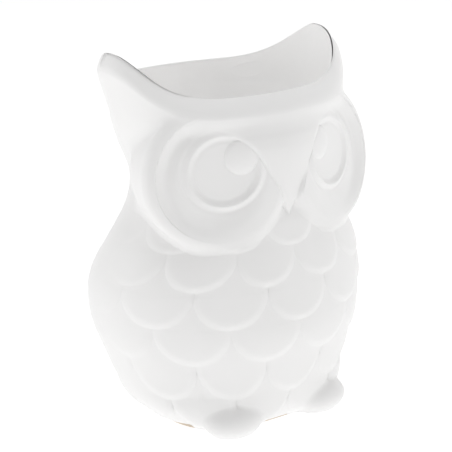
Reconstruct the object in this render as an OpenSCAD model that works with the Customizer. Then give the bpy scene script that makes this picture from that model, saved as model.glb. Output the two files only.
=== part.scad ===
// A hollow ceramic owl pot: a round-bellied pot with two ears, a brow plate that runs down into the
// beak, two round eyes, rows of overlapping feather scales and two front feet.
// The owl looks along -Y, its left side is +X, and it stands on the plane z = 0.

/* [Pot] */
// Height from the table to the ear tips
height = 180; // [120:1:260]
// Thickness of the wall
wall = 4.5; // [3:0.5:6]
// Thickness of the floor above the foot ring
floor_thickness = 6; // [4:0.5:10]
// How far the bare foot ring lies inside the pot's lower edge
foot_ring_inset = 0.6; // [0.4:0.1:3]
// Width of the foot ring's flat tread
foot_ring_width = 8; // [4:0.5:12]

/* [Feathers] */
// How far the lower edge of a scale stands out from the body
feather_relief = 2.2; // [1.2:0.1:3.5]
// How far the upper part of a scale stands out from the body
feather_base = 0.8; // [0.5:0.1:1]

/* [Face] */
// Angle that each eye is turned outwards
eye_turn = 22; // [18:1:25]
// Radius of each facial disc
disc_radius = 30; // [28:0.5:31]
// Radius of the ridge round each iris
iris_radius = 16; // [14:0.5:17]
// Radius of each pupil
pupil_radius = 7.7; // [6:0.1:9]
// How far the brow plate stands out
brow_relief = 3; // [1.5:0.1:4]

/* [Feet] */
// Width of a front foot
foot_width = 30; // [24:0.5:32]
// Height of a front foot
foot_height = 15.5; // [13:0.5:18]
// How far a front foot stands out from the body
foot_reach = 10; // [7:0.5:12]

/* [Hidden] */
// The lists and places below are for this height and are scaled to the chosen one.
DRAWN_HEIGHT = 180;
k = height / DRAWN_HEIGHT;

// Outline of the body: [height, half width, depth in front, depth behind, how far back the middle lies]
PROFILE = [
    [0, 41.5, 37.2, 40, -4.6], [5, 47.5, 42.5, 43, -4.6], [14, 54.8, 47, 46.5, -4], [30, 60.5, 54, 54, -1.7],
    [50, 66, 61, 61, 0], [70, 67, 58.5, 58.5, -2], [88, 61.5, 50.5, 50.5, -7], [104, 51.5, 45, 45, -8],
    [118, 46.5, 41.5, 41.5, -4.5], [134, 49.5, 42.5, 42.5, 0.5], [147, 55.5, 50.5, 46.5, 1.2],
    [160, 60, 51.5, 48, 1.2], [166, 62, 51.5, 48, 1.2], [172, 63.8, 51.5, 48, 1.2],
    [182, 64.3, 51.5, 48, 1.2]];
// The cross-section is a superellipse. It is squarer at the base and round above BASE_HEIGHT.
BASE_POWER = 2.8;
BASE_HEIGHT = 20;
// It changes from round to eared between these heights.
ROUND_UP_TO = 134;
EARED_FROM = 150;
ROUND_POWER = 2.1;
FRONT_POWERS = [2.2, 3];
BACK_POWERS = [1.9, 1.45];
// The rim's crest seen from above, round the middle of the head
HEAD_MIDDLE = 1.2;
CREST_HALF_WIDTH = 60;
CREST_FRONT = 44;
CREST_BACK = 44.65;
CREST_FRONT_POWERS = [1.71, 2.71];
CREST_BACK_POWERS = [2.5, 1.46];
// Lowest height of the crest at the front and the back, and how sharply it rises to the ears
RIM_FRONT = 159.6;
RIM_BACK = 161.3;
RIM_FRONT_POWER = 5.3;
RIM_BACK_POWER = 6.7;
// Over this height below the crest the wall curls in to it
CURL_HEIGHT = 8;
RING_HEIGHT = 1.5;

// The eye's own frame: a point on the flat seat that its parts stand on
EYE_SEAT = [29.5, -44.5, 126.1];
EYE_LIFT = 5;
DISC_OFFSET = 2;
IRIS_RISE = 2.3;
PUPIL_OFFSET = [-8, 8];
CHEEK_DEPTH = 40;
CHEEK_ROUNDING = 5;
CHEEK_UNDER_BROW = 1.5;
BLEND = 4;

// The brow plate: height of the beak's tip, the slope of the beak's edges, where they turn into the
// brows, how far the brows rise from there and how soon, and where the plate ends
BEAK_TIP_Z = 105;
BEAK_SLOPE = 1.94;
BEAK_HALF_WIDTH = 16;
BROW_LIFT = 17;
BROW_REACH = 14;
BROW_ENDS = 50;
// How far the plate's front lies before the middle of the head: [height, depth], and its roundness
BROW_DEPTHS = [[100, 53], [105, 54.9], [112, 56.1], [120, 57], [128, 57.5], [136, 57.3], [141, 55.9],
    [144, 54.4], [148, 53], [164, 52]];
BROW_POWERS = [1.71, 2.71];
BROW_BACK = -7;

// Feather rows from the neck down: height of the scale tips. Odd rows are shifted by half a scale.
ROW_TIPS = [91, 74.5, 56, 38, 18.5, 2.5];
COLUMNS = 11;
PITCH = 360 / COLUMNS;
NECKLINE = 104;
ROW_GAP = 1.5;

SHELL_SIDES = 72;
SEARCH_STEPS = 14;
FARTHEST = 95;
$fn = 64;

// Scales within this many places of the front are nodes of their own. The rest of a row is one node.
SINGLE_PLACES = 3;
function row_shift(row) = (row % 2) / 2;
function places(row) = [for (i = [-5 : 5]) i + row_shift(row)];
function single_places(row) = [for (p = places(row)) if (abs(p) <= SINGLE_PLACES) p];
function rear_places(row) = [for (p = places(row)) if (abs(p) > SINGLE_PLACES) p];
function place_name(p) = p == 0 ? "middle"
    : str(p < 0 ? "right_" : "left_", ceil(abs(p)));
function feather_name(row, p) = str("feather_row", row + 1, "_", place_name(p));
function rear_name(row) = str("feather_row", row + 1, "_rear");
ROWS = [0 : len(ROW_TIPS) - 1];

// ---- helpers
function mix(a, b, t) = a + (b - a) * t;
function unit(t) = min(1, max(0, t));
function signed_power(v, p) = sign(v) * pow(abs(v), p);
function smooth_min(a, b) = let (h = max(BLEND - abs(a - b), 0)) min(a, b) - h * h / (4 * BLEND);

// ---- the body's outline at any height, through a smooth curve
function profile_row(z, i = 0) =
    (i >= len(PROFILE) - 2 || z < PROFILE[i + 1][0]) ? i : profile_row(z, i + 1);
function profile_slope(i, column) =
    let (a = PROFILE[max(i - 1, 0)], b = PROFILE[min(i + 1, len(PROFILE) - 1)])
    (b[column] - a[column]) / (b[0] - a[0]);
function profile_value(z, i, column) =
    let (a = PROFILE[i], b = PROFILE[i + 1], gap = b[0] - a[0], t = (z - a[0]) / gap)
    mix(a[column], b[column], t)
    + t * (1 - t) * gap * ((1 - t) * (profile_slope(i, column) - (b[column] - a[column]) / gap)
        - t * (profile_slope(i + 1, column) - (b[column] - a[column]) / gap));
// One height's section: [half width, front depth, back depth, middle y, front powers, back powers, z]
function section(height_z) =
    let (z = max(height_z, PROFILE[0][0]), i = profile_row(z),
        eared = unit((z - ROUND_UP_TO) / (EARED_FROM - ROUND_UP_TO)),
        low_power = mix(BASE_POWER, ROUND_POWER, unit(z / BASE_HEIGHT)),
        round_powers = [low_power, low_power])
    [profile_value(z, i, 1), profile_value(z, i, 2), profile_value(z, i, 3), profile_value(z, i, 4),
        mix(round_powers, FRONT_POWERS, eared), mix(round_powers, BACK_POWERS, eared), height_z];

// Height of the brow plate's lower edge at this x
function brow_edge(x) = abs(x) < BEAK_HALF_WIDTH ? BEAK_TIP_Z + BEAK_SLOPE * abs(x)
    : BEAK_TIP_Z + BEAK_SLOPE * BEAK_HALF_WIDTH
        + BROW_LIFT * (1 - exp((BEAK_HALF_WIDTH - abs(x)) / BROW_REACH));

// ---- distance fields, roughly in millimetres, negative inside
function oval_distance(x, y, half_width, depth, powers) =
    (pow(pow(abs(x / half_width), powers[0]) + pow(abs(y / depth), powers[1]),
        2 / (powers[0] + powers[1])) - 1) * depth;
function body_distance(x, y, s) = y < s[3]
    ? oval_distance(x, y - s[3], s[0], s[1], s[4])
    : oval_distance(x, y - s[3], s[0], s[2], s[5]);
// A point in the eye's frame: [towards the ear, up, outwards]
function eye_frame(x, y, z) =
    let (dx = abs(x) - EYE_SEAT[0], dy = y - EYE_SEAT[1], dz = z - EYE_SEAT[2],
        out = dx * sin(eye_turn) - dy * cos(eye_turn))
    [dx * cos(eye_turn) + dy * sin(eye_turn), dz * cos(EYE_LIFT) - out * sin(EYE_LIFT),
        out * cos(EYE_LIFT) + dz * sin(EYE_LIFT)];
function cheek_distance(x, y, z) =
    let (e = eye_frame(x, y, z),
        across = norm([e[0] - DISC_OFFSET, e[1]]) - (disc_radius + 1 - CHEEK_ROUNDING),
        along = abs(e[2] + CHEEK_DEPTH / 2) - (CHEEK_DEPTH / 2 - CHEEK_ROUNDING))
    max(min(max(across, along), 0) + norm([max(across, 0), max(along, 0)]) - CHEEK_ROUNDING,
        z - brow_edge(x) - CHEEK_UNDER_BROW);
// The mass behind the brow plate, between its lower edge and the rim
function brow_distance(x, y, s) =
    let (depth = lookup(s[6], BROW_DEPTHS) - brow_relief,
        front = oval_distance(x, y - HEAD_MIDDLE, s[0] - 0.5, depth, BROW_POWERS))
    max(front, (brow_edge(x) - s[6]) / 2, y - BROW_BACK);
function outer_distance(x, y, s) =
    let (pot = smooth_min(body_distance(x, y, s), cheek_distance(x, y, s[6])))
    s[6] < BEAK_TIP_Z ? pot : smooth_min(pot, brow_distance(x, y, s));

// ---- how far out a level ray from (x, y) meets the body, found by halving
function outer_reach(x, y, dx, dy, s, low = 5, high = FARTHEST, step = 0) =
    let (middle = (low + high) / 2)
    step == SEARCH_STEPS ? middle
    : outer_distance(x + dx * middle, y + dy * middle, s) < 0
        ? outer_reach(x, y, dx, dy, s, middle, high, step + 1)
        : outer_reach(x, y, dx, dy, s, low, middle, step + 1);
function plain_reach(angle, s, low = 5, high = FARTHEST, step = 0) =
    let (middle = (low + high) / 2)
    step == SEARCH_STEPS ? middle
    : body_distance(sin(angle) * middle, s[3] - cos(angle) * middle, s) < 0
        ? plain_reach(angle, s, middle, high, step + 1)
        : plain_reach(angle, s, low, middle, step + 1);
// A point at this angle round the body (0 is the front, 90 the left ear) and this far from the middle
function level_point(angle, s, r) = [r * sin(angle), s[3] - r * cos(angle), s[6]];
function skin_reach(angle, s) = outer_reach(0, s[3], sin(angle), -cos(angle), s);
function outer_point(angle, s, off = 0) = level_point(angle, s, skin_reach(angle, s) + off);
function inner_point(angle, s, depth) = level_point(angle, s, plain_reach(angle, s) - depth);
// A point on the front of the head at this x
function front_point(x, s, off = 0) = [x, -outer_reach(x, 0, 0, -1, s, 0) - off, s[6]];

// ---- the rim's crest
function crest_reach(angle, low = 30, high = 66, step = 0) =
    let (middle = (low + high) / 2, x = middle * sin(angle), y = middle * cos(angle), front = y > 0)
    step == SEARCH_STEPS ? middle
    : oval_distance(x, y, CREST_HALF_WIDTH, front ? CREST_FRONT : CREST_BACK,
        front ? CREST_FRONT_POWERS : CREST_BACK_POWERS) < 0
        ? crest_reach(angle, middle, high, step + 1)
        : crest_reach(angle, low, middle, step + 1);
function rim_height(angle) =
    let (front = cos(angle) > 0, low = front ? RIM_FRONT : RIM_BACK,
        side = min(1, abs(crest_reach(angle) * sin(angle)) / CREST_HALF_WIDTH))
    low + (DRAWN_HEIGHT - low) * pow(side, front ? RIM_FRONT_POWER : RIM_BACK_POWER);

// ---- closed solids from grids of points
// A tube of rings, open through the middle like a pot: rings run up the outside and down the inside
module pot_of_rings(rings) {
    n = len(rings[0]);
    last = len(rings) - 1;
    sides = [for (j = [0 : last - 1], i = [0 : n - 1]) each [
        [j * n + i, j * n + n + (i + 1) % n, j * n + (i + 1) % n],
        [j * n + i, j * n + n + i, j * n + n + (i + 1) % n]]];
    under = [[for (i = [0 : n - 1]) i]];
    inside = [[for (i = [0 : n - 1]) last * n + n - 1 - i]];
    polyhedron([for (ring = rings) each ring], concat(sides, under, inside));
}

// A slab between an outer and an inner grid with the same rows and columns
module slab(outer, inner) {
    rows = len(outer);
    columns = len(outer[0]);
    count = rows * columns;
    function at(j, i) = j * columns + i;
    skins = [for (j = [0 : rows - 2], i = [0 : columns - 2]) each [
        [at(j, i), at(j + 1, i), at(j + 1, i + 1)],
        [at(j, i), at(j + 1, i + 1), at(j, i + 1)],
        [count + at(j, i), count + at(j + 1, i + 1), count + at(j + 1, i)],
        [count + at(j, i), count + at(j, i + 1), count + at(j + 1, i + 1)]]];
    border = concat([for (i = [0 : columns - 1]) at(0, i)],
        [for (j = [1 : rows - 1]) at(j, columns - 1)],
        [for (i = [columns - 2 : -1 : 0]) at(rows - 1, i)],
        [for (j = [rows - 2 : -1 : 1]) at(j, 0)]);
    edge = len(border);
    walls = [for (e = [0 : edge - 1]) let (a = border[e], b = border[(e + 1) % edge]) each [
        [a, b, count + b],
        [a, count + b, count + a]]];
    polyhedron(concat([for (row = outer) each row], [for (row = inner) each row]),
        concat(skins, walls));
}

// ---- the pot
LOWER_HEIGHTS = [4, 9, 16, 24, 33, 43, 54, 65, 76, 86, 92, 96, 101, 107, 115, 124, 134];
HEAD_STEPS = [0.2, 0.4, 0.6, 0.8, 1];
CURL_ANGLES = [62, 38, 18];
THROAT_STEPS = [0.85, 0.6, 0.3, 0];
INNER_HEIGHTS = [119, 104, 89, 72, 54, 36, 22, 14];
CREST_EDGE = 1.8;
module body_shell() {
    angles = [for (i = [0 : SHELL_SIDES - 1]) i * 360 / SHELL_SIDES];
    rim = [for (a = angles) rim_height(a)];
    crest = [for (a = angles) crest_reach(a)];
    curl = [for (i = [0 : SHELL_SIDES - 1]) skin_reach(angles[i], section(rim[i])) - crest[i]];
    floor_z = RING_HEIGHT + floor_thickness;
    outside = [for (z = concat([RING_HEIGHT], LOWER_HEIGHTS))
        let (s = section(z)) [for (a = angles) outer_point(a, s)]];
    head = [for (t = HEAD_STEPS) [for (i = [0 : SHELL_SIDES - 1])
        outer_point(angles[i], section(mix(ROUND_UP_TO, rim[i] - CURL_HEIGHT, t)))]];
    lip = [for (b = CURL_ANGLES) [for (i = [0 : SHELL_SIDES - 1])
        outer_point(angles[i], section(rim[i] - CURL_HEIGHT * (1 - cos(b))), -curl[i] * (1 - sin(b)))]];
    top = [[for (i = [0 : SHELL_SIDES - 1]) level_point(angles[i], section(rim[i]), crest[i])]];
    throat = [for (t = concat([1], THROAT_STEPS)) [for (i = [0 : SHELL_SIDES - 1])
        let (s = section(mix(ROUND_UP_TO, rim[i] - CREST_EDGE, t)))
        level_point(angles[i], s, mix(plain_reach(angles[i], s) - wall, crest[i] - CREST_EDGE,
            t * t * (3 - 2 * t)))]];
    inside = [for (z = concat(INNER_HEIGHTS, [floor_z]))
        let (s = section(z)) [for (a = angles) inner_point(a, s, wall * (z > floor_z ? 1 : 1.6))]];
    color("white") scale(k) pot_of_rings(concat(outside, head, lip, top, throat, inside));
}

// The bare clay ring under the pot
module foot_ring() {
    base = section(0);
    function outline(inset) = [for (i = [0 : SHELL_SIDES - 1])
        let (p = inner_point(i * 360 / SHELL_SIDES, base, inset)) [p[0], p[1]]];
    color("wheat") scale(k) difference() {
        linear_extrude(RING_HEIGHT) polygon(outline(foot_ring_inset));
        translate([0, 0, -1]) linear_extrude(RING_HEIGHT + 2)
            polygon(outline(foot_ring_inset + foot_ring_width));
    }
}

// ---- the brow plate: its lower edge is a V from ear to ear, with the beak's tip at the bottom
BROW_BELOW_RIM = 7;
BROW_END_RISE = 6;
function brow_top(x) = RIM_FRONT - BROW_BELOW_RIM + BROW_END_RISE * pow(abs(x) / BROW_ENDS, 4);
module brow_beak() {
    columns = 26;
    rows = 6;
    thin = 0.6;
    xs = [for (i = [0 : columns]) let (t = 2 * i / columns - 1) signed_power(t, 1.3) * BROW_ENDS];
    heights = [for (j = [0 : rows]) [for (x = xs) mix(brow_edge(x), brow_top(x), j / rows)]];
    function relief(x, j) = thin + (brow_relief - thin) * cos(90 * j / rows)
        * cos(90 * pow(abs(x) / BROW_ENDS, 3));
    outer = [for (j = [0 : rows]) [for (i = [0 : columns])
        front_point(xs[i], section(heights[j][i]), relief(xs[i], j))]];
    inner = [for (j = [0 : rows]) [for (i = [0 : columns]) front_point(xs[i], section(heights[j][i]))]];
    color("white") scale(k) slab(outer, inner);
}

// ---- the eyes
DISC_THICKNESS = 1.8;
GROOVE_RADIUS = 25;
LIP_HEIGHT = 3.2;
RIDGE_HALF_WIDTH = 1.8;
IRIS_THICKNESS = 1.6;
IRIS_DISH = 0.4;
PUPIL_HEIGHT = 4;
EDGE_CLEARANCE = 0.4;
// Places the eye's flat frame on the cheek. Its x runs towards the ear, y up and z outwards.
module on_cheek(side) {
    mirror([side < 0 ? 1 : 0, 0, 0]) scale(k) translate(EYE_SEAT)
        rotate([0, 0, eye_turn]) rotate([90 - EYE_LIFT, 0, 0]) children();
}
// Everything that the brow plate covers
module brow_cover() {
    reach = 40;
    edge = [for (x = [-4 : 2 : 62]) [(x - EYE_SEAT[0]) / cos(eye_turn), brow_edge(x) - EYE_SEAT[2]
        - EDGE_CLEARANCE]];
    translate([0, 0, -1]) linear_extrude(12)
        polygon(concat(edge, [[reach + 10, reach], [-reach, reach], [-reach, edge[0][1]]]));
}
module iris_hole(r) {
    translate([0, IRIS_RISE, -1]) cylinder(r = r, h = 12);
}
module pupil_hole() {
    translate([PUPIL_OFFSET[0], PUPIL_OFFSET[1], -1]) cylinder(r = pupil_radius, h = 12);
}
module face_disc(side) {
    lip = disc_radius - 2.2;
    color("white") on_cheek(side) difference() {
        translate([DISC_OFFSET, 0, 0]) rotate_extrude($fn = 96)
            polygon([[0, 0], [disc_radius, 0], [disc_radius, 1.2], [disc_radius - 0.7, 2.5],
                [lip, LIP_HEIGHT], [GROOVE_RADIUS + 1, 1.6], [GROOVE_RADIUS, 1.1],
                [GROOVE_RADIUS - 2, DISC_THICKNESS], [0, DISC_THICKNESS]]);
        iris_hole(iris_radius + RIDGE_HALF_WIDTH);
        brow_cover();
    }
}
module iris_ring(side) {
    color("white") on_cheek(side) difference() {
        translate([0, IRIS_RISE, 0]) rotate_extrude($fn = 96) translate([iris_radius, 0]) {
            translate([-RIDGE_HALF_WIDTH, 0]) square([2 * RIDGE_HALF_WIDTH, DISC_THICKNESS]);
            translate([0, DISC_THICKNESS]) intersection() {
                circle(r = RIDGE_HALF_WIDTH, $fn = 32);
                translate([-RIDGE_HALF_WIDTH, 0]) square([2 * RIDGE_HALF_WIDTH, RIDGE_HALF_WIDTH]);
            }
        }
        pupil_hole();
        brow_cover();
    }
}
module iris(side) {
    r = iris_radius - RIDGE_HALF_WIDTH;
    color("white") on_cheek(side) difference() {
        translate([0, IRIS_RISE, 0]) rotate_extrude($fn = 96)
            polygon([[0, 0], [r, 0], [r, IRIS_THICKNESS], [0, IRIS_THICKNESS - IRIS_DISH]]);
        pupil_hole();
        brow_cover();
    }
}
module pupil(side) {
    dome = PUPIL_HEIGHT - IRIS_THICKNESS;
    ball = (pupil_radius * pupil_radius + dome * dome) / (2 * dome);
    color("white") on_cheek(side) difference() {
        translate([PUPIL_OFFSET[0], PUPIL_OFFSET[1], 0]) intersection() {
            cylinder(r = pupil_radius, h = PUPIL_HEIGHT + 1);
            translate([0, 0, PUPIL_HEIGHT - ball]) sphere(r = ball, $fn = 96);
        }
        brow_cover();
    }
}

// ---- the feather scales
function row_rise(row) = row == 0 ? NECKLINE - ROW_TIPS[0] - ROW_GAP
    : ROW_TIPS[row - 1] - ROW_TIPS[row] - ROW_GAP;
function scallop(row, t) = ROW_TIPS[row] + row_rise(row) * (1 - sqrt(1 - t * t));
// Lower outline of the cheek at an angle round the body, which cuts the top row short
function chin(angle, s) =
    let (p = outer_point(angle, s), e = eye_frame(p[0], p[1], p[2]), across = abs(e[0] - DISC_OFFSET),
        r = disc_radius + 3)
    cos(angle) < 0 || across > r ? NECKLINE : EYE_SEAT[2] - sqrt(r * r - across * across);
function scale_top(row, t, angle) = row == 0 ? min(NECKLINE, chin(angle, section(NECKLINE - 8)))
    : scallop(row - 1, 1 - abs(t));
ACROSS = [-0.99, -0.9, -0.7, -0.38, 0, 0.38, 0.7, 0.9, 0.99];
UP = [0, 0.12, 0.5, 1];
module feather(row, place) {
    edge_rounding = 0.35;
    angles = [for (t = ACROSS) (place + t / 2) * PITCH];
    heights = [for (u = UP) [for (i = [0 : len(ACROSS) - 1])
        let (low = scallop(row, ACROSS[i]), high = scale_top(row, ACROSS[i], angles[i]))
        mix(low, max(low + 0.5, high), u)]];
    function relief(u) = u == 0 ? feather_relief * (1 - edge_rounding)
        : feather_base + (feather_relief - feather_base) * pow(1 - u, 1.2);
    outer = [for (j = [0 : len(UP) - 1]) [for (i = [0 : len(ACROSS) - 1])
        outer_point(angles[i], section(heights[j][i]), relief(UP[j]))]];
    inner = [for (j = [0 : len(UP) - 1]) [for (i = [0 : len(ACROSS) - 1])
        outer_point(angles[i], section(heights[j][i]))]];
    color("white") scale(k) slab(outer, inner);
}

// ---- the front feet
FOOT_ANGLE = 35;
FOOT_MIDDLE_Z = 6.5;
module foot(side) {
    thin = 0.5;
    rows = 8;
    columns = 10;
    body_radius = 45;
    half_angle = foot_width / 2 / body_radius * 180 / PI;
    above = foot_height - FOOT_MIDDLE_Z;
    function girth(z) = sqrt(max(0.02, 1 - pow((z - FOOT_MIDDLE_Z) / above, 2)));
    heights = [for (j = [0 : rows]) foot_height * sin(90 * j / rows) * 0.99];
    function grid(lifted) = [for (z = heights) let (s = section(z)) [for (i = [0 : columns])
        let (across = -cos(180 * i / columns), g = girth(z))
        outer_point(side * FOOT_ANGLE + across * g * half_angle, s,
            lifted ? foot_reach * g * sqrt(1 - across * across) + thin : 0)]];
    color("white") scale(k) slab(grid(true), grid(false));
}

body_shell();
foot_ring();
brow_beak();
for (side = [1, -1]) {
    suffix = side > 0 ? "_left" : "_right";
    face_disc(side);
    iris_ring(side);
    iris(side);
    pupil(side);
    foot(side);
}
for (row = ROWS) {
    for (p = single_places(row)) feather(row, p);
    for (p = rear_places(row)) feather(row, p);
}
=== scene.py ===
"""The white ceramic owl pot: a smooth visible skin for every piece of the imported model."""
import math

import bpy
import numpy as np
from mathutils import Matrix, Vector


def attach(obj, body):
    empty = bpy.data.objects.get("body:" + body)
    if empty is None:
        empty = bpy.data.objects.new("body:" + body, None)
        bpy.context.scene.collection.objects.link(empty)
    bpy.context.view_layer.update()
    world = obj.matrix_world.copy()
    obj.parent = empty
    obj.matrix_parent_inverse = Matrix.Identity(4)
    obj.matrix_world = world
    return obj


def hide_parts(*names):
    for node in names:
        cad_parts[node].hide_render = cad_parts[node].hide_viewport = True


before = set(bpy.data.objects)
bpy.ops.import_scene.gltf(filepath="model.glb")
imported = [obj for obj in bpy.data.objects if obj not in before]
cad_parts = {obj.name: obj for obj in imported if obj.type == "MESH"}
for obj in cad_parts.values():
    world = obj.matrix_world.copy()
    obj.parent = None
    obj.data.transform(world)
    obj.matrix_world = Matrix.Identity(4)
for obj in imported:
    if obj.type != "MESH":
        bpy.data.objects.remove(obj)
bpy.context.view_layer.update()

MM = 0.001

# ---------------------------------------------------------------- driving sizes, in millimetres
HEIGHT = 180.0
WALL = 4.2
# Outline of the body: height, half width, depth in front, depth behind, how far back the middle lies
PROFILE = np.array([
    (0, 41.5, 37.2, 40, -4.6), (5, 47.5, 42.5, 43, -4.6), (14, 54.8, 47, 46.5, -4),
    (30, 60.5, 54, 54, -1.7), (50, 66, 61, 61, 0), (70, 67, 58.5, 58.5, -2),
    (88, 61.5, 50.5, 50.5, -7), (104, 51.5, 45, 45, -8), (118, 46.5, 41.5, 41.5, -4.5),
    (134, 49.5, 42.5, 42.5, 0.5), (147, 55.5, 50.5, 46.5, 1.2), (160, 60, 51.5, 48, 1.2),
    (166, 62, 51.5, 48, 1.2), (172, 63.8, 51.5, 48, 1.2), (182, 64.3, 51.5, 48, 1.2)], float)
# The middle of the head, and a usual radius that turns angles into lengths
HEAD_MIDDLE, BODY_RADIUS = 1.2, 60.0
# The section is round up to one height and has its eared shape from another
ROUND_UP_TO, EARED_FROM = 134.0, 150.0
ROUND_POWER = 2.1
# Near the table the section is squarer
BASE_POWER, BASE_HEIGHT = 2.8, 20.0
FRONT_POWERS = (2.2, 3.0)
BACK_POWERS = (1.9, 1.45)
# The rim's crest seen from above, its lowest heights, and how sharply it rises to the ears
CREST_HALF_WIDTH, CREST_FRONT, CREST_BACK = 60.0, 44.0, 44.65
CREST_FRONT_POWERS, CREST_BACK_POWERS = (1.71, 2.71), (2.5, 1.46)
RIM_FRONT, RIM_BACK = 159.6, 161.3
RIM_FRONT_POWER, RIM_BACK_POWER = 5.3, 6.7
# Below the crest the wall curls inwards. The crest's inner edge is rounded.
CURL_HEIGHT, CURL_POWER = 8.5, 1.8
CREST_EDGE = 1.1
# The clay ring, the glaze's lower border and where round the foot it runs higher
RING_HEIGHT, RING_INSET, RING_WIDTH, RING_ROUNDING = 3.0, 0.6, 8.0, 1.0
GLAZE_LOW, GLAZE_RISE = 0.6, 2.2
GLAZE_GAP, GLAZE_GAP_WIDTH = math.radians(62), 0.22
FLOOR_TOP, FLOOR_FILLET_HEIGHT, FLOOR_FILLET_WIDTH = 9.0, 6.0, 8.0

# The eye's frame: a point on its seat, turned outwards and a little up
EYE_TURN, EYE_LIFT = math.radians(22.5), math.radians(5)
EYE_SEAT = np.array((30.0, -45.6, 126.2))
DISC_MIDDLE = np.array((2.0, 0.0))
LIP_ROUNDING = 5.5
IRIS_MIDDLE = np.array((0.0, 2.3))
IRIS_AXES = (17.0, 16.0)
IRIS_TILT = math.radians(-13)
IRIS_RADIUS = sum(IRIS_AXES) / 2
RIDGE_WIDTH, RIDGE_INNER, RIDGE_OUTER = 1.5, 2.2, 2.4
GROOVE_INSET, GROOVE_WIDTH, GROOVE_TURN = 5.0, 3.6, math.pi / 5
PUPIL_MIDDLE = np.array((-8.0, 8.0))
PUPIL_RADIUS, PUPIL_DOME = 7.7, 2.5
CHEEK_DEPTH, CHEEK_BACK_ROUNDING = 36.0, 8.0
CHEEK_ABOVE_BROW = 1.5

# The brow plate: its lower edge, and how far forward its front lies at each height
BEAK_TIP_Z, BEAK_SLOPE, BEAK_HALF_WIDTH = 105.0, 1.94, 16.0
BROW_LIFT, BROW_REACH = 17.0, 14.0
BROW_DEPTHS = np.array([
    (100, 53.0), (105, 54.9), (112, 56.1), (120, 57.0), (128, 57.5), (136, 57.3), (141, 55.9),
    (144, 54.4), (148, 53.0), (154, 52.3), (164, 52.0)], float)
BROW_POWERS = (1.71, 2.71)
BROW_BACK = -8.0
# Where the plate ends: its top, and how far to each side
BROW_TOP, BROW_ENDS = 153.0, 46.0

# Rows of scales from the neck down: the height of their tips
ROW_TIPS = (91.0, 74.5, 56.0, 38.0, 18.5, 2.0)
COLUMNS = 11
HALF_PITCH = math.pi / COLUMNS
NECKLINE = 104.0
ROW_GAP = 1.5
FEATHER_RELIEF = 2.3
FEATHER_BASE = 0.4
FEATHER_EDGE = 4.0
CREASE = 1.6
FEATHER_SETBACK = 1.1
# The relief fades between these angles from the front, down to a small share
FADE_FROM, FADE_OVER, FADE_SHARE = 1.0, 0.7, 0.78

FOOT_MIDDLE = np.array((25.0, -40.3, 6.5))
FOOT_RADII = np.array((15.3, 12.2, 9.0))

# Soft transitions between the masses
CHEEK_BLEND, BROW_BLEND, FOOT_BLEND = 4.0, 1.3, 2.0
# Thickness of the pieces, and how they overlap: past its border a piece dips under its neighbours
PIECE_DEPTH, SCALE_DEPTH, DIP = 2.4, 2.2, 0.5
# How far the pot's shell lies under the pieces on it, and how much deeper beside the brow's edge
UNDER, UNDER_BROW_EDGE = 0.3, 1.3
NORMAL_STEP = 0.12


# ---------------------------------------------------------------- the form, as functions of place
def smooth_step(t):
    t = np.clip(t, 0.0, 1.0)
    return t * t * (3 - 2 * t)


def smooth_min(a, b, k):
    h = np.maximum(k - np.abs(a - b), 0.0)
    return np.minimum(a, b) - h * h / (4 * k)


def smooth_max(a, b, k):
    return -smooth_min(-a, -b, k)


def curve(z, table, column):
    """One column of a table at any height, through a smooth curve."""
    zs, vs = table[:, 0], table[:, column]
    slopes = np.empty_like(vs)
    slopes[1:-1] = (vs[2:] - vs[:-2]) / (zs[2:] - zs[:-2])
    slopes[0] = (vs[1] - vs[0]) / (zs[1] - zs[0])
    slopes[-1] = (vs[-1] - vs[-2]) / (zs[-1] - zs[-2])
    z = np.clip(z, zs[0], zs[-1])
    i = np.clip(np.searchsorted(zs, z, side="right") - 1, 0, len(zs) - 2)
    gap = zs[i + 1] - zs[i]
    t = (z - zs[i]) / gap
    return ((1 + 2 * t) * (1 - t) ** 2 * vs[i] + t * t * (3 - 2 * t) * vs[i + 1]
            + gap * (t * (1 - t) ** 2 * slopes[i] - t * t * (1 - t) * slopes[i + 1]))


def section(z):
    """Half width, depths, middle y and the share of the eared shape at each height."""
    return [curve(z, PROFILE, column) for column in (1, 2, 3, 4)] + [
        np.clip((z - ROUND_UP_TO) / (EARED_FROM - ROUND_UP_TO), 0, 1)]


def body_distance(x, y, z, sec):
    half_w, depth_front, depth_back, mid, eared = sec
    dy = y - mid
    front = dy < 0
    half_d = np.where(front, depth_front, depth_back)
    plain_power = ROUND_POWER + (BASE_POWER - ROUND_POWER) * np.clip(1 - z / BASE_HEIGHT, 0, 1)
    m = plain_power + eared * (np.where(front, FRONT_POWERS[0], BACK_POWERS[0]) - ROUND_POWER)
    w = plain_power + eared * (np.where(front, FRONT_POWERS[1], BACK_POWERS[1]) - ROUND_POWER)
    g = (np.abs(x / half_w) ** m + np.abs(dy / half_d) ** w) ** (2 / (m + w))
    return np.hypot(x, dy) * (1 - 1 / np.maximum(g, 1e-6))


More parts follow.
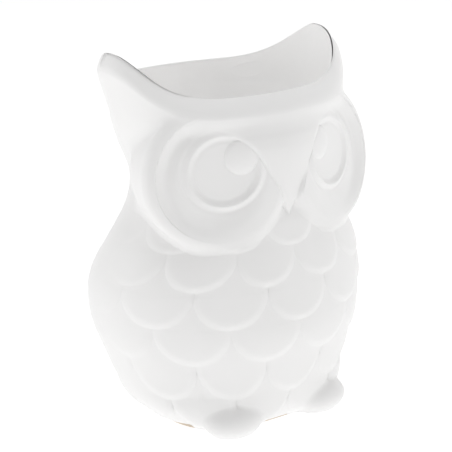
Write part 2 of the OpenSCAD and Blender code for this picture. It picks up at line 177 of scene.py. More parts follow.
def crest(angle):
    """The rim's crest in each direction from its middle: how far out, and how high."""
    sx, sy = np.abs(np.sin(angle)), np.abs(np.cos(angle))
    front = np.cos(angle) > 0
    m = np.where(front, CREST_FRONT_POWERS[0], CREST_BACK_POWERS[0])
    w = np.where(front, CREST_FRONT_POWERS[1], CREST_BACK_POWERS[1])
    deep = np.where(front, CREST_FRONT, CREST_BACK)
    low, high = np.full_like(sx, 30.0), np.full_like(sx, 66.0)
    for _ in range(30):
        r = (low + high) / 2
        inside = (r * sx / CREST_HALF_WIDTH) ** m + (r * sy / deep) ** w < 1
        low, high = np.where(inside, r, low), np.where(inside, high, r)
    bottom = np.where(front, RIM_FRONT, RIM_BACK)
    power = np.where(front, RIM_FRONT_POWER, RIM_BACK_POWER)
    return low, bottom + (HEIGHT - bottom) * np.minimum(low * sx / CREST_HALF_WIDTH, 1) ** power


def eye_frame(x, y, z):
    """A place in the eye's frame: towards the ear, up, outwards."""
    dx, dy, dz = np.abs(x) - EYE_SEAT[0], y - EYE_SEAT[1], z - EYE_SEAT[2]
    c, s = math.cos(EYE_TURN), math.sin(EYE_TURN)
    out = dx * s - dy * c
    ce, se = math.cos(EYE_LIFT), math.sin(EYE_LIFT)
    return dx * c + dy * s, dz * ce - out * se, out * ce + dz * se


def eye_point(side, u, v, w):
    """From the eye's frame back to the pot's frame."""
    c, s = math.cos(EYE_TURN), math.sin(EYE_TURN)
    ce, se = math.cos(EYE_LIFT), math.sin(EYE_LIFT)
    out, dz = w * ce - v * se, v * ce + w * se
    return side * (EYE_SEAT[0] + u * c + out * s), EYE_SEAT[1] + u * s - out * c, EYE_SEAT[2] + dz


def lip_radius(theta):
    """The facial disc's outline. theta is 0 towards the ear and grows towards the top."""
    return 28.6 + 1.4 * np.cos(theta) - 0.8 * np.sin(theta)


def lip_height(theta):
    return 1.4 - 1.4 * np.sin(theta) + 1.2 * np.cos(theta)


def groove_depth(theta):
    return 1.0 + 1.6 * np.cos(theta - GROOVE_TURN)


def iris_rho(u, v):
    """1 on the crest of the ridge round the iris."""
    du, dv = u - IRIS_MIDDLE[0], v - IRIS_MIDDLE[1]
    c, s = math.cos(IRIS_TILT), math.sin(IRIS_TILT)
    return np.hypot((du * c + dv * s) / IRIS_AXES[0], (-du * s + dv * c) / IRIS_AXES[1])


def eye_height(u, v):
    """Height of the eye's front over its seat, from the iris out to the crest of the disc's lip."""
    du, dv = u - DISC_MIDDLE[0], v - DISC_MIDDLE[1]
    rho, theta = np.hypot(du, dv), np.arctan2(dv, du)
    crest = lip_radius(theta)
    groove = groove_depth(theta) * np.exp(-((rho - crest + GROOVE_INSET) / GROOVE_WIDTH) ** 2)
    lip = lip_height(theta) - 0.6
    wide = 11 - 3 * np.cos(theta - GROOVE_TURN)
    rise = lip * smooth_step(1 + (rho - crest) / wide)
    ring = (iris_rho(u, v) - 1) * IRIS_RADIUS
    turn = np.arctan2(v - IRIS_MIDDLE[1], u - IRIS_MIDDLE[0])
    strength = 1.0 - 0.4 * np.cos(turn - math.pi / 4)
    beside = 0.2 * np.exp(-((np.abs(ring) - 2.8) / 1.0) ** 2)
    ridge = strength * np.exp(-(ring / RIDGE_WIDTH) ** 2) - beside
    drop = 0.4 * smooth_step(-ring / 2.0)
    h = 0.6 + rise - groove + ridge - drop
    d = np.hypot(u - PUPIL_MIDDLE[0], v - PUPIL_MIDDLE[1])
    dome = (PUPIL_DOME * np.sqrt(np.clip(1 - (d / PUPIL_RADIUS) ** 2, 0, 1))
            - np.maximum(d - PUPIL_RADIUS, 0) * 1.5)
    return smooth_max(h, dome, 0.9)


def cheek_distance(x, y, z):
    """The puck that carries an eye, up to the brow plate's edge."""
    u, v, w = eye_frame(x, y, z)
    du, dv = u - DISC_MIDDLE[0], v - DISC_MIDDLE[1]
    rho, theta = np.hypot(du, dv), np.arctan2(dv, du)
    past = rho - lip_radius(theta)
    q = LIP_ROUNDING
    shoulder = lip_height(theta) - q
    face = w - eye_height(u, v)
    side = np.where(w > shoulder, np.hypot(past, w - shoulder) - q, past - q)
    puck = smooth_max(np.where(past < 0, face, side), -w - CHEEK_DEPTH, CHEEK_BACK_ROUNDING)
    return smooth_max(puck, (z - brow_edge(x) - CHEEK_ABOVE_BROW) * 0.8, 3.0)


def brow_edge(x):
    """Height of the brow plate's lower edge at this x."""
    ax = np.abs(x)
    turn = BEAK_TIP_Z + BEAK_SLOPE * BEAK_HALF_WIDTH
    return np.where(ax < BEAK_HALF_WIDTH, BEAK_TIP_Z + BEAK_SLOPE * ax,
                    turn + BROW_LIFT * (1 - np.exp(np.minimum(BEAK_HALF_WIDTH - ax, 0) / BROW_REACH)))


def brow_distance(x, y, z):
    """The mass behind the brow plate."""
    depth = curve(z, BROW_DEPTHS, 1)
    dy = y - HEAD_MIDDLE
    g = (np.abs(x / (curve(z, PROFILE, 1) - 0.5)) ** BROW_POWERS[0]
         + np.abs(dy / depth) ** BROW_POWERS[1]) ** (2 / (BROW_POWERS[0] + BROW_POWERS[1]))
    front = np.hypot(x, dy) * (1 - 1 / np.maximum(g, 1e-6))
    return smooth_max(smooth_max(front, (brow_edge(x) - z) / 1.5, 1.5),
                      dy - BROW_BACK, 3.0)


def foot_distance(x, y, z):
    d = [(np.abs(x) - FOOT_MIDDLE[0]), y - FOOT_MIDDLE[1], z - FOOT_MIDDLE[2]]
    g = np.sqrt(sum((d[i] / FOOT_RADII[i]) ** 2 for i in range(3)))
    return np.sqrt(d[0] ** 2 + d[1] ** 2 + d[2] ** 2) * (1 - 1 / np.maximum(g, 1e-6))


# ---------------------------------------------------------------- the feather scales' relief
def row_rise(row):
    above = NECKLINE if row == 0 else ROW_TIPS[row - 1]
    return above - ROW_TIPS[row] - ROW_GAP


def inside_place(row, spot, angle, z):
    """Distance inside the outline of the scale at a place in a row, ignoring the rows above."""
    t = (angle - spot * 2 * HALF_PITCH) / HALF_PITCH
    rise = row_rise(row)
    up = (z - ROW_TIPS[row] - rise) / rise
    rho = np.where(up < 0, np.hypot(t, up), np.abs(t))
    return (1 - rho) * (BODY_RADIUS * HALF_PITCH + rise) / 2


def inside_scale(row, angle, z):
    """The same for the nearest scale of the row."""
    shift = (row % 2) / 2
    spot = np.round(angle / (2 * HALF_PITCH) - shift) + shift
    return inside_place(row, spot, angle, z)


def softness(angle):
    """Share of the full relief: all of it on the breast, less at the sides and back."""
    turn = np.abs((angle + math.pi) % (2 * math.pi) - math.pi)
    return 1 - FADE_SHARE * smooth_step((turn - FADE_FROM) / FADE_OVER)


def relief(angle, z):
    """How far the scales stand out from the body."""
    best = np.zeros(np.broadcast(angle, z).shape)
    for row in range(len(ROW_TIPS)):
        rise = row_rise(row)
        inside = inside_scale(row, angle, z)
        climb = np.clip((z - ROW_TIPS[row]) / (2 * rise), 0, 1)
        crown = FEATHER_BASE + (FEATHER_RELIEF - FEATHER_BASE) * (1 - climb) ** 1.1
        e = np.clip(inside / FEATHER_EDGE, 0, 1)
        h = np.where(inside > 0, crown * (1 - (1 - e) ** 2) ** 0.65, inside)
        h = h - np.maximum(z - ROW_TIPS[row] - 2 * rise - 1, 0) * (0.5 if row else 0.3)
        best = smooth_max(best, h, CREASE)
    return (best - FEATHER_SETBACK * smooth_step((NECKLINE - z) / 10)) * softness(angle)


# ---------------------------------------------------------------- the whole surface
def scaled_body(x, y, z, sec=None, feathers=None):
    """The body with its scales, without face and feet."""
    sec = section(z) if sec is None else sec
    if feathers is None:
        feathers = relief(np.arctan2(x, -(y - sec[3])), z)
    return body_distance(x, y, z, sec) - feathers


def without_brow(x, y, z, sec=None, feathers=None):
    """The pot without the brow plate, which covers the upper edge of the discs."""
    pot = smooth_min(scaled_body(x, y, z, sec, feathers), cheek_distance(x, y, z), CHEEK_BLEND)
    return smooth_min(pot, foot_distance(x, y, z), FOOT_BLEND)


def uncurled(x, y, z, sec=None, feathers=None):
    """The whole pot before its wall curls in to the rim."""
    return smooth_min(without_brow(x, y, z, sec, feathers), brow_distance(x, y, z), BROW_BLEND)


CURL = {}


def field(x, y, z, sec=None, feathers=None):
    """Signed distance to the pot's finished outer skin, roughly in millimetres."""
    skin = uncurled(x, y, z, sec, feathers)
    if not np.any(z > RIM_FRONT - CURL_HEIGHT - 1):
        return skin
    # under the rim the wall curls in to the crest
    angle = np.arctan2(x, HEAD_MIDDLE - y) % (2 * math.pi)
    below = np.interp(angle, CURL["angle"], CURL["height"]) - z
    part = np.clip(below / CURL_HEIGHT, 0, 1)
    inwards = np.interp(angle, CURL["angle"], CURL["amount"]) * (1 - part) ** CURL_POWER
    return skin + inwards


def normals(points, of=field):
    """Directions straight out of a surface."""
    x, y, z = points[..., 0], points[..., 1], points[..., 2]
    e = NORMAL_STEP
    n = np.stack([of(x + e, y, z) - of(x - e, y, z), of(x, y + e, z) - of(x, y - e, z),
                  of(x, y, z + e) - of(x, y, z - e)], -1)
    return n / np.maximum(np.linalg.norm(n, axis=-1, keepdims=True), 1e-9)


def reach(angle, z, of=field, steps=24):
    """How far a level ray from the middle of the section travels to a surface."""
    sec = section(z)
    feathers = relief(angle, z)
    sx, sy = np.sin(angle), -np.cos(angle)
    low = np.full(np.broadcast(angle, z).shape, 20.0)
    high = np.full(low.shape, 90.0)
    for _ in range(steps):
        mid = (low + high) / 2
        inside = of(mid * sx, sec[3] + mid * sy, z, sec, feathers) < 0
        low, high = np.where(inside, mid, low), np.where(inside, high, mid)
    return (low + high) / 2


def plain_reach(angle, z):
    """The same for the bare body, without scales, face and feet."""
    return reach(angle, z, lambda x, y, z, sec, feathers: body_distance(x, y, z, sec))


def settle_curl():
    """How far the wall has to curl in at the rim, all round."""
    angle = np.linspace(0, 2 * math.pi, 721)
    r, height = crest(angle)
    CURL.update(angle=angle, height=height, amount=reach(angle, height, uncurled) - r)


def place(angle, z, r):
    """Points at an angle round the body (0 is the front), a height and a distance from the middle."""
    mid = section(z)[3]
    return np.stack([r * np.sin(angle), mid - r * np.cos(angle), z + 0 * r], -1)


# ---------------------------------------------------------------- meshes
def make_object(name, points, faces, material, skin=0, of=field, edge_normals=None):
    """The first `skin` points lie on the outer skin and take its normals, then come a rim's, if any."""
    points = np.asarray(points)
    mesh = bpy.data.meshes.new(name)
    mesh.from_pydata((points * MM).tolist(), [], faces)
    mesh.polygons.foreach_set("use_smooth", np.ones(len(mesh.polygons), bool))
    mesh.materials.append(material)
    if skin:
        custom = np.zeros((len(points), 3))
        custom[:skin] = normals(points[:skin], of)
        if edge_normals is not None:
            custom[skin:skin + len(edge_normals)] = edge_normals
        mesh.normals_split_custom_set_from_vertices(custom.tolist())
    obj = bpy.data.objects.new(name, mesh)
    bpy.context.scene.collection.objects.link(obj)
    return obj


def grid_faces(rows, columns, closed=False, start=0, flip=False):
    faces = []
    for j in range(rows - 1):
        for i in range(columns if closed else columns - 1):
            a, b = start + j * columns + i, start + j * columns + (i + 1) % columns
            quad = (a, b, b + columns, a + columns)
            faces.append(quad[::-1] if flip else quad)
    return faces


def slabs(name, grids, material, of=field):
    """Closed solids, each between an outer and an inner grid of points."""
    skin = sum(outer.shape[0] * outer.shape[1] for outer, _ in grids)
    points = [outer.reshape(-1, 3) for outer, _ in grids] + [inner.reshape(-1, 3) for _, inner in grids]
    faces, start = [], 0
    for outer, _ in grids:
        rows, columns = outer.shape[:2]
        faces += grid_faces(rows, columns, start=start)
        faces += grid_faces(rows, columns, start=start + skin, flip=True)
        border = ([i for i in range(columns)] + [j * columns + columns - 1 for j in range(1, rows)]
                  + [(rows - 1) * columns + i for i in range(columns - 2, -1, -1)]
                  + [j * columns for j in range(rows - 2, 0, -1)])
        for e, a in enumerate(border):
            b = border[(e + 1) % len(border)]
            faces.append((start + b, start + a, start + a + skin, start + b + skin))
        start += rows * columns
    return make_object(name, np.concatenate(points), faces, material, skin, of)


def polar_slab(name, tops, backs, material, middle, mirrored):
    """A solid from closed rings over the eye; `middle` closes it over its centre."""
    rows, columns = tops.shape[:2]
    points = [tops.reshape(-1, 3)]
    if middle:
        points.append(tops[0].mean(0)[None])
    skin = rows * columns + middle
    points.append(backs.reshape(-1, 3))
    faces = grid_faces(rows, columns, True) + grid_faces(rows, columns, True, skin, True)
    last = (rows - 1) * columns
    for i in range(columns):
        b = (i + 1) % columns
        faces.append((last + i, last + b, skin + last + b, skin + last + i))
        if middle:
            faces.append((b, i, rows * columns))
            faces.append((skin + i, skin + b, skin + rows * columns))
        else:
            faces.append((b, i, skin + i, skin + b))
    if middle:
        points.append(backs[0].mean(0)[None])
    if mirrored:
        faces = [f[::-1] for f in faces]
    return make_object(name, np.concatenate(points), faces, material, skin, without_brow)


# ---------------------------------------------------------------- materials
def ceramic(name, colour, shade, roughness, bump):
    """Matte white glaze: faint cloudy tone, fine orange-peel skin."""
    m = bpy.data.materials.new(name)
    m.use_nodes = True
    nt = m.node_tree
    bsdf = nt.nodes["Principled BSDF"]
    coord = nt.nodes.new("ShaderNodeTexCoord")
    cloud = nt.nodes.new("ShaderNodeTexNoise")
    cloud.inputs["Scale"].default_value = 38
    cloud.inputs["Detail"].default_value = 4
    ramp = nt.nodes.new("ShaderNodeValToRGB")
    ramp.color_ramp.elements[0].position, ramp.color_ramp.elements[1].position = 0.35, 0.65
    ramp.color_ramp.elements[0].color = (*shade, 1)
    ramp.color_ramp.elements[1].color = (*colour, 1)
    skin = nt.nodes.new("ShaderNodeTexNoise")
    skin.inputs["Scale"].default_value = 420
    skin.inputs["Detail"].default_value = 3
    bumps = nt.nodes.new("ShaderNodeBump")
    bumps.inputs["Strength"].default_value = bump
    bumps.inputs["Distance"].default_value = 0.0004
    rough = nt.nodes.new("ShaderNodeMapRange")
    rough.inputs["To Min"].default_value = roughness - 0.05
    rough.inputs["To Max"].default_value = roughness + 0.07
    link = nt.links.new
    for tex in (cloud, skin):
        link(coord.outputs["Object"], tex.inputs["Vector"])
    link(cloud.outputs["Fac"], ramp.inputs["Fac"])
    link(ramp.outputs["Color"], bsdf.inputs["Base Color"])
    link(skin.outputs["Fac"], bumps.inputs["Height"])
    link(bumps.outputs["Normal"], bsdf.inputs["Normal"])
    link(cloud.outputs["Fac"], rough.inputs["Value"])
    link(rough.outputs["Result"], bsdf.inputs["Roughness"])
    bsdf.inputs["Specular IOR Level"].default_value = 0.5
    return m


WHITE = ceramic("white_ceramic_skin", (0.93, 0.925, 0.92), (0.918, 0.913, 0.907), 0.45, 0.05)
CLAY = ceramic("bare_clay_skin", (0.74, 0.65, 0.54), (0.66, 0.56, 0.45), 0.85, 0.5)
FLOOR = ceramic("floor_paint", (0.3, 0.3, 0.3), (0.298, 0.298, 0.298), 0.9, 0.02)


def finish_piece(piece, node):
    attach(piece, "root")
    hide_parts(node)
    return piece


# ---------------------------------------------------------------- the pot
def covered(angle, z, r):
    """1 where another piece lies over the shell, 0 where the shell itself is seen."""
    p = place(angle, z, r)
    x, y = p[..., 0], p[..., 1]
    front = np.cos(angle) > 0.2
    u, v, w = eye_frame(x, y, z)
    theta = np.arctan2(v, u - DISC_MIDDLE[0])
    rho = np.hypot(u - DISC_MIDDLE[0], v - DISC_MIDDLE[1]) - lip_radius(theta)
    eye = smooth_step(3.2 - rho) * (w > -6) * front * smooth_step((brow_edge(x) - z) / 1.5)
    brow = (smooth_step(z - brow_edge(x) + 1) * smooth_step(BROW_TOP - 1 - z)
            * smooth_step(BROW_ENDS - 1 - np.abs(x)) * front)
    scales = smooth_step((NECKLINE + 1.5 - z) / 1.5)
    return np.maximum(np.maximum(eye, brow), scales)


def build_shell():
    sides = 480
    angle = np.arange(sides) * 2 * math.pi / sides
    r_crest, rim = crest(angle)
    rings = []

    def outside(z):
        r = reach(angle, z)
        x = np.abs(place(angle, z, r)[..., 0])
        beside = smooth_step(1 - np.abs(z - brow_edge(x)) / 4) * (x < BROW_ENDS - 4)
        sunk = (UNDER + UNDER_BROW_EDGE * beside) * covered(angle, z, r)
        rings.append(place(angle, z, r - sunk))

    turn = np.abs((angle + math.pi) % (2 * math.pi) - math.pi)
    glaze = GLAZE_LOW + GLAZE_RISE * np.exp(-((turn - GLAZE_GAP) / GLAZE_GAP_WIDTH) ** 2)
    rings.append(place(angle, glaze, reach(angle, glaze) - 1.6))
    for lift, back in ((0.15, 0.7), (0.6, 0.2)):
        rings.append(place(angle, glaze + lift, reach(angle, glaze + lift) - back))
    for z in np.concatenate([[1.5, 2.6, 4.0], np.linspace(6, NECKLINE, 60),
                             np.linspace(NECKLINE + 1, ROUND_UP_TO, 38)]):
        outside(np.maximum(np.full(sides, z), glaze + 1.2 + z / 9))
    for t in np.linspace(0, 1, 36)[1:]:
        outside(ROUND_UP_TO + (rim - CURL_HEIGHT - ROUND_UP_TO) * t)
    for t in np.linspace(1, 0, 18)[1:-1]:
        outside(rim - CURL_HEIGHT * t)
    outside(rim - 0.1)
    skin = len(rings) * sides
    # over the crest and down the inside
    line = place(angle, rim, r_crest)
    along = np.roll(line, -1, 0) - np.roll(line, 1, 0)
    along /= np.linalg.norm(along, axis=1, keepdims=True)
    upwards = np.array((0, 0, 1)) - along * along[:, 2:]
    upwards /= np.linalg.norm(upwards, axis=1, keepdims=True)
    inwards = np.cross(upwards, along)
    edge_normals = []
    for a in np.linspace(0, math.pi / 2, 9):
        rings.append(place(angle, rim - CREST_EDGE * (1 - math.cos(a)),
                           r_crest - CREST_EDGE * math.sin(a)))
        edge_normals.append(inwards * math.sin(a) + upwards * math.cos(a))
    for t in np.linspace(1, 0, 34)[1:]:
        zz = ROUND_UP_TO + (rim - CREST_EDGE - ROUND_UP_TO) * t
        hold = smooth_step(t)
        inner = plain_reach(angle, zz) - WALL
        rings.append(place(angle, zz, inner * (1 - hold) + (r_crest - CREST_EDGE) * hold))
    fillet_top = FLOOR_TOP + FLOOR_FILLET_HEIGHT
    for z in np.linspace(ROUND_UP_TO, fillet_top, 60)[1:]:
        zz = np.full(sides, z)
        rings.append(place(angle, zz, plain_reach(angle, zz) - WALL))
    low = plain_reach(angle, np.full(sides, fillet_top)) - WALL
    for a in np.linspace(0, math.pi / 2, 8)[1:]:
        zz = np.full(sides, fillet_top - FLOOR_FILLET_HEIGHT * math.sin(a))
        rings.append(place(angle, zz, low - FLOOR_FILLET_WIDTH * (1 - math.cos(a))))
    rings = np.array(rings)
    rows = len(rings)
    count = rows * sides
    faces = grid_faces(rows, sides, closed=True)
    points = np.concatenate([rings.reshape(-1, 3), rings[0].mean(0)[None], rings[-1].mean(0)[None]])
    for i in range(sides):
        b = (i + 1) % sides
        faces.append((b, i, count))
        faces.append(((rows - 1) * sides + i, (rows - 1) * sides + b, count + 1))
    return finish_piece(make_object("pot", points, faces, WHITE, skin,
                                    edge_normals=np.concatenate(edge_normals)), "body_shell")


def build_ring():
    sides = 180
    angle = np.arange(sides) * 2 * math.pi / sides
    base = plain_reach(angle, np.zeros(sides)) - RING_INSET
    inner, outer = -RING_WIDTH, 0.0
    r = RING_ROUNDING
    profile = []
    for a in np.linspace(0, math.pi / 2, 6):
        profile.append((outer - r + r * math.sin(a), r - r * math.cos(a)))
    profile.append((outer, RING_HEIGHT))
    profile.append((inner, RING_HEIGHT))
    for a in np.linspace(math.pi / 2, 0, 6):
        profile.append((inner + r - r * math.sin(a), r - r * math.cos(a)))
    mid = PROFILE[0, 4]
    rings = np.array([np.stack([(base + out) * np.sin(angle), mid - (base + out) * np.cos(angle),
                                np.full(sides, z)], -1) for out, z in profile])
    rows, columns = rings.shape[:2]
    faces = grid_faces(rows, columns, closed=True)
    for i in range(columns):
        a, b = (rows - 1) * columns + i, (rows - 1) * columns + (i + 1) % columns
        faces.append((a, b, (i + 1) % columns, i))
    ring = make_object("clay_ring", rings.reshape(-1, 3), faces, CLAY)
    return finish_piece(ring, "foot_ring")


def row_places(row):
    return [i + (row % 2) / 2 for i in range(-5, 6)]


def build_feather(row, spot):
    margin = 0.9
    wide = 1 + margin / (BODY_RADIUS * HALF_PITCH)
    t = np.sin(np.linspace(-math.pi / 2, math.pi / 2, 33)) * wide
    rise = row_rise(row)
    tc = np.clip(np.abs(t), 0, 1)
    low = ROW_TIPS[row] + rise * (1 - np.sqrt(1 - tc * tc)) - margin
    if row == 0:
        high = np.full_like(t, NECKLINE + 1)
    else:
        other = np.clip(1 - np.abs(t), 0, 1)
        high = ROW_TIPS[row - 1] + row_rise(row - 1) * (1 - np.sqrt(1 - other * other)) + margin
    low = np.maximum(low, 1.2)
    high = np.maximum(high, low + 0.8)
    z = low + (high - low) * np.linspace(0, 1, 26)[:, None]
    angle = (spot * 2 * HALF_PITCH + t * HALF_PITCH)[None] + 0 * z
    # past its own outline a scale dips under its neighbours
    past = np.maximum(-inside_place(row, spot, angle, z), 0)
    if row:
        past = np.maximum(past, np.maximum(inside_scale(row - 1, angle, z), 0))
    else:
        past = np.maximum(past, z - NECKLINE)
    r = reach(angle, z, scaled_body)
    top = r - DIP * past
    return place(angle, z, top), place(angle, z, top - SCALE_DEPTH)


def place_name(spot):
    if spot == 0:
        return "middle"
    return ("right_" if spot < 0 else "left_") + str(math.ceil(abs(spot)))


def build_feathers():
    for row in range(len(ROW_TIPS)):
        rear = []
        for spot in row_places(row):
            grids = build_feather(row, spot)
            if abs(spot) <= 3:
                node = f"feather_row{row + 1}_{place_name(spot)}"
                finish_piece(slabs("scale_" + node[8:], [grids], WHITE, scaled_body), node)
            else:
                rear.append(grids)
        node = f"feather_row{row + 1}_rear"
        finish_piece(slabs("scales_" + node[8:], rear, WHITE, scaled_body), node)


# ---------------------------------------------------------------- the face
def build_eye(side, word):
    n = 200
    phi = np.arange(n) * 2 * math.pi / n
    c, s = math.cos(IRIS_TILT), math.sin(IRIS_TILT)
    eu, ev = IRIS_AXES[0] * np.cos(phi), IRIS_AXES[1] * np.sin(phi)
    ring_u, ring_v = eu * c - ev * s, eu * s + ev * c

    def surface(u, v, sunk=0.0):
        """The skin straight over a place on the eye's seat, and the piece's back behind it."""
        low, high = np.full_like(u, -14.0), np.full_like(u, 9.0)
        for _ in range(20):
            mid = (low + high) / 2
            x, y, z = eye_point(1, u, v, mid)
            inside = without_brow(x, y, z) < 0
            low, high = np.where(inside, mid, low), np.where(inside, high, mid)
        x, y, z = eye_point(1, u, v, low)
        w = low - DIP * np.maximum(z - brow_edge(x) - 0.5, 0) - sunk
        return (np.stack(eye_point(side, u, v, w), -1),
                np.stack(eye_point(side, u, v, w - PIECE_DEPTH), -1))

    def pupil_gap(u, v):
        return np.hypot(u - PUPIL_MIDDLE[0], v - PUPIL_MIDDLE[1]) - PUPIL_RADIUS

    def rings_for(scales, inner, outer):
        tops, backs = [], []
        for k in scales:
            u, v = IRIS_MIDDLE[0] + ring_u * k, IRIS_MIDDLE[1] + ring_v * k
            past = max(inner - k, k - outer, 0) * IRIS_RADIUS
            top, back = surface(u, v, DIP * past + 0.4 * np.clip(-pupil_gap(u, v), 0, 1))
            tops.append(top)
            backs.append(back)
        return np.array(tops), np.array(backs)

    inner, outer, lap = 1 - RIDGE_INNER / IRIS_RADIUS, 1 + RIDGE_OUTER / IRIS_RADIUS, 0.7 / IRIS_RADIUS
    tops, backs = rings_for(np.linspace(0.02, inner + lap, 36), 0, inner)
    finish_piece(polar_slab("eye_" + word, tops, backs, WHITE, 1, side > 0), "iris_" + word)
    tops, backs = rings_for(np.linspace(inner - lap, outer + lap, 18), inner, outer)
    finish_piece(polar_slab("ridge_" + word, tops, backs, WHITE, 0, side > 0), "iris_ring_" + word)

    # the disc: from the ridge out to the lip's crest, then round and down its side
    k0 = outer - lap
    start_u, start_v = IRIS_MIDDLE[0] + ring_u * k0, IRIS_MIDDLE[1] + ring_v * k0
    theta = np.arctan2(start_v - DISC_MIDDLE[1], start_u - DISC_MIDDLE[0])
    crest = lip_radius(theta)
    cu, cv = np.cos(theta), np.sin(theta)
    end_u, end_v = DISC_MIDDLE[0] + (crest + 3.6) * cu, DISC_MIDDLE[1] + (crest + 3.6) * cv
    tops, backs = [], []
    for t in np.linspace(0, 1, 56):
        u, v = start_u + (end_u - start_u) * t, start_v + (end_v - start_v) * t
        past = np.hypot(u - DISC_MIDDLE[0], v - DISC_MIDDLE[1]) - crest - 2.6
        sunk = 0.6 * np.maximum(past, 0) + (0.3 if t == 0 else 0) + 0.4 * np.clip(-pupil_gap(u, v), 0, 1)
        top, back = surface(u, v, sunk)
        tops.append(top)
        backs.append(back)
    finish_piece(polar_slab("disc_" + word, np.array(tops), np.array(backs), WHITE, 0, side > 0),
                 "face_disc_" + word)

    tops, backs = [], []
    for d in np.linspace(0.1, PUPIL_RADIUS + 0.8, 28):
        u, v = PUPIL_MIDDLE[0] + d * np.cos(phi), PUPIL_MIDDLE[1] + d * np.sin(phi)
        top, back = surface(u, v, 0.6 * max(d - PUPIL_RADIUS, 0))
        tops.append(top)
        backs.append(back)
    finish_piece(polar_slab("pupil_button_" + word, np.array(tops), np.array(backs), WHITE, 1, side > 0),
                 "pupil_" + word)


def build_brow():
    """The V plate. Rows run from its lower edge up to where it fades into the head below the rim."""
    columns, rows = 181, 70
    s = np.linspace(-1, 1, columns)
    xs = np.sign(s) * np.abs(s) ** 1.2 * BROW_ENDS
    # the rows crowd towards the plate's lower edge
    up = (np.linspace(0, 1, rows) ** 1.7)[:, None]
    z = brow_edge(xs) - 2.2 + (BROW_TOP + 1.2 - brow_edge(xs) + 1.0) * up
    x = xs[None] + 0 * z
    low, high = np.full_like(x, 15.0), np.full_like(x, 75.0)
    for _ in range(24):
        mid = (low + high) / 2
        inside = field(x, -mid, z) < 0
        low, high = np.where(inside, mid, low), np.where(inside, high, mid)
    past = np.maximum(np.maximum(brow_edge(x) - 1 - z, z - BROW_TOP), np.abs(x) - BROW_ENDS + 1)
    y = -low + DIP * np.maximum(past, 0)
    outer = np.stack([x, y, z], -1)
    inner = np.stack([x, y + PIECE_DEPTH, z], -1)
    return finish_piece(slabs("brow_plate", [(outer, inner)], WHITE), "brow_beak")


def build_foot(side, word):
    rows, columns = 44, 45
    z = 20 * np.linspace(0.002, 1, rows)
    tall = (z - FOOT_MIDDLE[2]) / FOOT_RADII[2]
    girth = np.sqrt(np.clip(1 - tall ** 2 * (z > FOOT_MIDDLE[2]), 0.02, 1))[:, None]
    across = np.linspace(-1, 1, columns)[None]
    middle = math.atan2(FOOT_MIDDLE[0], -(FOOT_MIDDLE[1] + 5.0))
    half = (FOOT_RADII[0] + 2.5) / 42
    angle = side * middle + across * (girth * half + 0.02)
    zz = z[:, None] + 0 * angle
    keep = zz < FOOT_MIDDLE[2] + FOOT_RADII[2] + 3
    r = reach(angle, np.maximum(zz, 0.3))
    edge = np.clip((np.abs(across) - 0.93) / 0.07, 0, 1) + np.clip((z[:, None] - 15.5) / 1.5, 0, 1)
    sink = 0.4 * edge + 3 * (~keep)
    grids = (place(angle, zz, r - sink), place(angle, zz, r - sink - PIECE_DEPTH))
    return finish_piece(slabs("foot_lump_" + word, [grids], WHITE), "foot_" + word)


settle_curl()
build_shell()
build_ring()
build_feathers()
for side, word in ((1, "left"), (-1, "right")):
    build_eye(side, word)
    build_foot(side, word)
build_brow()


# ---------------------------------------------------------------- floor, light and camera
def softbox(name, azimuth, elevation, distance, size, power):
    light = bpy.data.lights.new(name, "AREA")
    light.shape = "RECTANGLE"
    light.size, light.size_y = size
    light.energy = power
    obj = bpy.data.objects.new(name, light)
    a, e = math.radians(azimuth), math.radians(elevation)
    direction = Vector((math.sin(a) * math.cos(e), -math.cos(a) * math.cos(e), math.sin(e)))
    obj.location = Vector((0, 0, 0.09)) + direction * distance
    obj.rotation_euler = direction.to_track_quat("Z", "Y").to_euler()
    bpy.context.scene.collection.objects.link(obj)


# Light boxes: name, azimuth, elevation, distance in metres, size in metres, power in watts. The last
# one is a small lamp inside the pot, for the light that bounces between its white walls.
LIGHTS = [
    ("left_box", -125, 16, 1.1, (0.9, 0.6), 1.7), ("right_box", 40, 16, 1.1, (0.8, 0.6), 0.8),
    ("right_back_box", 95, 16, 1.1, (0.9, 0.6), 1.3), ("top_box", 0, 88, 1.3, (1.2, 1.2), 4.6),
    ("front_box", -36, 40, 1.1, (0.8, 0.8), 0.25), ("back_box", 150, 50, 1.2, (1.0, 0.8), 3.4),
    ("inside_lamp", 0, -90, 0.03, (0.05, 0.05), 0.033)]
HORIZON_LIGHT, WORLD_LIGHT, HORIZON_BAND, TABLE_GLOW = 1.0, 0.36, 0.35, 0.83
FLOOR_HALF_WIDTH, FLOOR_DROP = 3000, 0.05


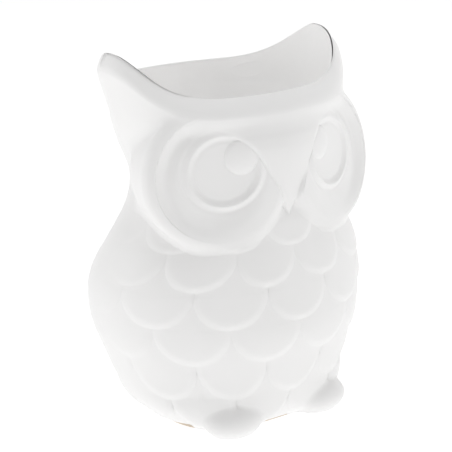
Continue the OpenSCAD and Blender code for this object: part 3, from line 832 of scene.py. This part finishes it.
def build_stage():
    xs = np.linspace(-FLOOR_HALF_WIDTH, FLOOR_HALF_WIDTH, 3)
    pts = np.array([[(x, y, -FLOOR_DROP) for x in xs] for y in xs])
    floor = make_object("floor", pts.reshape(-1, 3), grid_faces(3, 3), FLOOR)
    glow = FLOOR.node_tree.nodes["Principled BSDF"]
    glow.inputs["Emission Color"].default_value = (1, 1, 1, 1)
    glow.inputs["Emission Strength"].default_value = TABLE_GLOW
    world = bpy.data.worlds.new("studio")
    world.use_nodes = True
    world.node_tree.nodes["Background"].inputs[0].default_value = (1, 1, 1, 1)
    # a pale studio: brighter round the horizon than overhead
    new = world.node_tree.nodes.new
    coord, split = new("ShaderNodeTexCoord"), new("ShaderNodeSeparateXYZ")
    fade = new("ShaderNodeMapRange")
    fade.inputs["From Max"].default_value = HORIZON_BAND
    fade.inputs["To Min"].default_value = HORIZON_LIGHT
    fade.inputs["To Max"].default_value = WORLD_LIGHT
    link = world.node_tree.links.new
    link(coord.outputs["Generated"], split.inputs["Vector"])
    link(split.outputs["Z"], fade.inputs["Value"])
    link(fade.outputs["Result"], world.node_tree.nodes["Background"].inputs["Strength"])
    bpy.context.scene.world = world
    for light in LIGHTS:
        softbox(*light)


# The camera's angles in degrees; its distance, target and shift to the right in metres; its lens
CAMERA_ANGLES = (-35.7, 15.9, -1.6)
CAMERA_DISTANCE, CAMERA_TARGET, CAMERA_SHIFT = 0.7836, (0, 0.002, 0.0871), 0.0035
CAMERA_LENS, CAMERA_SENSOR = 128, 36


def build_camera():
    azimuth, elevation, roll = (math.radians(angle) for angle in CAMERA_ANGLES)
    back = Vector((math.sin(azimuth) * math.cos(elevation), -math.cos(azimuth) * math.cos(elevation),
                   math.sin(elevation)))
    right = (-back).cross(Vector((0, 0, 1))).normalized()
    up = right.cross(-back)
    rolled_right = right * math.cos(roll) + up * math.sin(roll)
    rolled_up = up * math.cos(roll) - right * math.sin(roll)
    target = right * CAMERA_SHIFT + Vector(CAMERA_TARGET)
    data = bpy.data.cameras.new("camera")
    data.lens = CAMERA_LENS
    data.sensor_width = CAMERA_SENSOR
    cam = bpy.data.objects.new("camera", data)
    rot = Matrix((rolled_right, rolled_up, back)).transposed().to_4x4()
    cam.matrix_world = Matrix.Translation(target + back * CAMERA_DISTANCE) @ rot
    bpy.context.scene.collection.objects.link(cam)
    bpy.context.scene.camera = cam


build_stage()
build_camera()
bpy.context.scene.view_settings.view_transform = "Standard"
bpy.context.scene.view_settings.look = "None"
